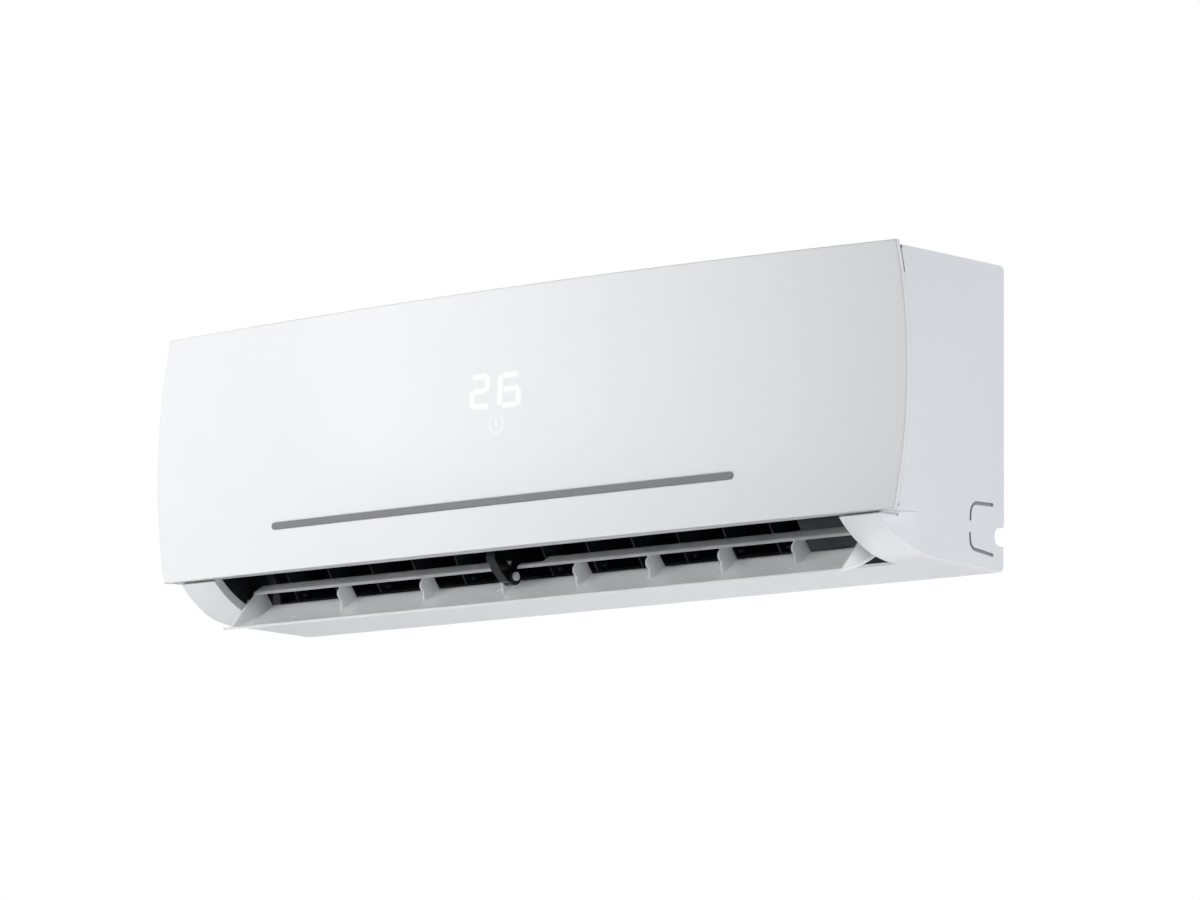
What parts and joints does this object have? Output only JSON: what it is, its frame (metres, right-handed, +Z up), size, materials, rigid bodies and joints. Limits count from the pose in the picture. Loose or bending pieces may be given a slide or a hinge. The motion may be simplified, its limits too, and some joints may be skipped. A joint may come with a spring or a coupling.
{
  "type": "mini split indoor unit",
  "caption": "Wall-hung air conditioner indoor unit with a bowed front panel, a swinging louver, upright vanes, a cross-flow fan, a coil and lift-out filters.",
  "frame": {"origin": "centre of the mounting plate's four wall screws, on the wall plane", "axes": "+X to the right as a person faces the unit, +Y back towards the wall, +Z up"},
  "size_m": [0.89, 0.1918, 0.2842],
  "materials": {
    "case_white": "fine satin",
    "panel_white": "satin gloss",
    "strip_grey": "gloss",
    "louver_white": "satin",
    "pin_white": "smooth",
    "duct_dark": "fine grain",
    "vane_dark": "smooth",
    "hook_black": "smooth",
    "chassis_grey": "fine grain",
    "fan_dark": "smooth",
    "galvanised": "galvanised sheet",
    "zinc_screw": "zinc plated",
    "fin_aluminium": "fin edges",
    "copper": "drawn copper",
    "brass": "machined",
    "motor_steel": "painted",
    "rubber_black": "matte",
    "filter_grey": "mesh",
    "box_metal": "zinc coated sheet",
    "board_green": "solder mask",
    "can_silver": "sleeved can",
    "relay_black": "moulded",
    "terminal_cream": "moulded",
    "display_black": "moulded"
  },
  "bodies": {
    "unit": {"mounting_plate": "galvanised", "rear_chassis": "chassis_grey", "front_case": "case_white", "top_inlet_grille": "case_white", "louver_centre_hook": "hook_black", "louver_motor": "motor_steel", "vane_carrier": "duct_dark", "drain_pan": "duct_dark", "drain_spigot": "duct_dark", "drain_plug": "rubber_black", "evaporator_fins": "fin_aluminium", "evaporator_tubes": "copper", "coil_plate_left": "galvanised", "coil_plate_right": "galvanised", "gas_pipe": "copper", "liquid_pipe": "copper", "gas_union": "brass", "liquid_union": "brass", "fan_bearing": "brass", "bearing_seat": "rubber_black", "fan_motor": "motor_steel", "motor_clamp": "galvanised", "clamp_screws": "zinc_screw", "control_box": "box_metal", "control_box_cover": "box_metal", "main_board": "board_green", "capacitor": "can_silver", "relay": "relay_black", "terminal_block": "terminal_cream", "button_switch": "board_green", "room_sensor": "rubber_black", "case_screws": "zinc_screw"},
    "panel": {"front_panel": "panel_white", "trim_strip": "strip_grey", "display_housing": "display_black", "display_board": "board_green"},
    "louver": {"louver": "louver_white", "louver_centre_pin": "pin_white", "louver_motor_shaft": "zinc_screw"},
    "fan": {"cross_flow_fan": "fan_dark", "fan_stub_shaft": "zinc_screw", "motor_shaft": "zinc_screw"},
    "left_filter": {"filter_left": "filter_grey"},
    "right_filter": {"filter_right": "filter_grey"},
    "button": {"emergency_button": "pin_white"},
    "left_link": {"vane_link_left": "vane_dark"},
    "right_link": {"vane_link_right": "vane_dark"},
    "vane_01": {"vane_01": "vane_dark"},
    "vane_02": {"vane_02": "vane_dark"},
    "vane_03": {"vane_03": "vane_dark"},
    "vane_04": {"vane_04": "vane_dark"},
    "vane_05": {"vane_05": "vane_dark"},
    "vane_06": {"vane_06": "vane_dark"},
    "vane_07": {"vane_07": "vane_dark"},
    "vane_08": {"vane_08": "vane_dark"},
    "vane_09": {"vane_09": "vane_dark"},
    "vane_10": {"vane_10": "vane_dark"},
    "vane_11": {"vane_11": "vane_dark"},
    "vane_12": {"vane_12": "vane_dark"}
  },
  "joints": [
    {"name": "panel_hinge", "type": "hinge", "parent": "unit", "child": "panel", "pos_m": [0, -0.16, 0.112], "axis": [-1, 0, 0], "range_deg": [0, 60]},
    {"name": "louver_hinge", "type": "hinge", "parent": "unit", "child": "louver", "pos_m": [0, -0.13, -0.128], "axis": [-1, 0, 0], "range_deg": [-12, 47]},
    {"name": "fan_spin", "type": "hinge", "parent": "unit", "child": "fan", "pos_m": [0, -0.074, -0.032], "axis": [1, 0, 0], "continuous": true},
    {"name": "left_filter_lift", "type": "slide", "parent": "unit", "child": "left_filter", "axis": [0, 0, 1], "range_m": [0, 0.005]},
    {"name": "right_filter_lift", "type": "slide", "parent": "unit", "child": "right_filter", "axis": [0, 0, 1], "range_m": [0, 0.005]},
    {"name": "button_press", "type": "slide", "parent": "unit", "child": "button", "axis": [0, 1, 0], "range_m": [0, 0.0015], "stiffness_N_per_m": 800},
    {"name": "vane_01_swing", "type": "hinge", "parent": "unit", "child": "vane_01", "pos_m": [-0.337, -0.0985, -0.10675], "axis": [0, -0.5592, 0.829], "range_deg": [-30, 30]},
    {"name": "vane_02_swing", "type": "hinge", "parent": "unit", "child": "vane_02", "pos_m": [-0.2842, -0.0985, -0.10675], "axis": [0, -0.5592, 0.829], "range_deg": [-30, 30]},
    {"name": "vane_03_swing", "type": "hinge", "parent": "unit", "child": "vane_03", "pos_m": [-0.2314, -0.0985, -0.10675], "axis": [0, -0.5592, 0.829], "range_deg": [-30, 30]},
    {"name": "vane_04_swing", "type": "hinge", "parent": "unit", "child": "vane_04", "pos_m": [-0.1786, -0.0985, -0.10675], "axis": [0, -0.5592, 0.829], "range_deg": [-30, 30]},
    {"name": "vane_05_swing", "type": "hinge", "parent": "unit", "child": "vane_05", "pos_m": [-0.1258, -0.0985, -0.10675], "axis": [0, -0.5592, 0.829], "range_deg": [-30, 30]},
    {"name": "vane_06_swing", "type": "hinge", "parent": "unit", "child": "vane_06", "pos_m": [-0.073, -0.0985, -0.10675], "axis": [0, -0.5592, 0.829], "range_deg": [-30, 30]},
    {"name": "vane_07_swing", "type": "hinge", "parent": "unit", "child": "vane_07", "pos_m": [-0.0202, -0.0985, -0.10675], "axis": [0, -0.5592, 0.829], "range_deg": [-30, 30]},
    {"name": "vane_08_swing", "type": "hinge", "parent": "unit", "child": "vane_08", "pos_m": [0.0326, -0.0985, -0.10675], "axis": [0, -0.5592, 0.829], "range_deg": [-30, 30]},
    {"name": "vane_09_swing", "type": "hinge", "parent": "unit", "child": "vane_09", "pos_m": [0.0854, -0.0985, -0.10675], "axis": [0, -0.5592, 0.829], "range_deg": [-30, 30]},
    {"name": "vane_10_swing", "type": "hinge", "parent": "unit", "child": "vane_10", "pos_m": [0.1382, -0.0985, -0.10675], "axis": [0, -0.5592, 0.829], "range_deg": [-30, 30]},
    {"name": "vane_11_swing", "type": "hinge", "parent": "unit", "child": "vane_11", "pos_m": [0.191, -0.0985, -0.10675], "axis": [0, -0.5592, 0.829], "range_deg": [-30, 30]},
    {"name": "vane_12_swing", "type": "hinge", "parent": "unit", "child": "vane_12", "pos_m": [0.2438, -0.0985, -0.10675], "axis": [0, -0.5592, 0.829], "range_deg": [-30, 30]},
    {"name": "left_link_pivot", "type": "hinge", "parent": "vane_01", "child": "left_link", "pos_m": [-0.337, -0.10922, -0.07297], "axis": [0, -0.5592, 0.829], "range_deg": [-30, 30]},
    {"name": "right_link_pivot", "type": "hinge", "parent": "vane_07", "child": "right_link", "pos_m": [-0.0202, -0.10922, -0.07297], "axis": [0, -0.5592, 0.829], "range_deg": [-30, 30]}
  ],
  "couplings": [
    {"joint": "vane_02_swing", "follows": "vane_01_swing", "ratio": 1},
    {"joint": "vane_03_swing", "follows": "vane_01_swing", "ratio": 1},
    {"joint": "vane_04_swing", "follows": "vane_01_swing", "ratio": 1},
    {"joint": "vane_05_swing", "follows": "vane_01_swing", "ratio": 1},
    {"joint": "vane_06_swing", "follows": "vane_01_swing", "ratio": 1},
    {"joint": "vane_08_swing", "follows": "vane_07_swing", "ratio": 1},
    {"joint": "vane_09_swing", "follows": "vane_07_swing", "ratio": 1},
    {"joint": "vane_10_swing", "follows": "vane_07_swing", "ratio": 1},
    {"joint": "vane_11_swing", "follows": "vane_07_swing", "ratio": 1},
    {"joint": "vane_12_swing", "follows": "vane_07_swing", "ratio": 1},
    {"joint": "left_link_pivot", "follows": "vane_01_swing", "ratio": -1},
    {"joint": "right_link_pivot", "follows": "vane_07_swing", "ratio": -1}
  ]
}
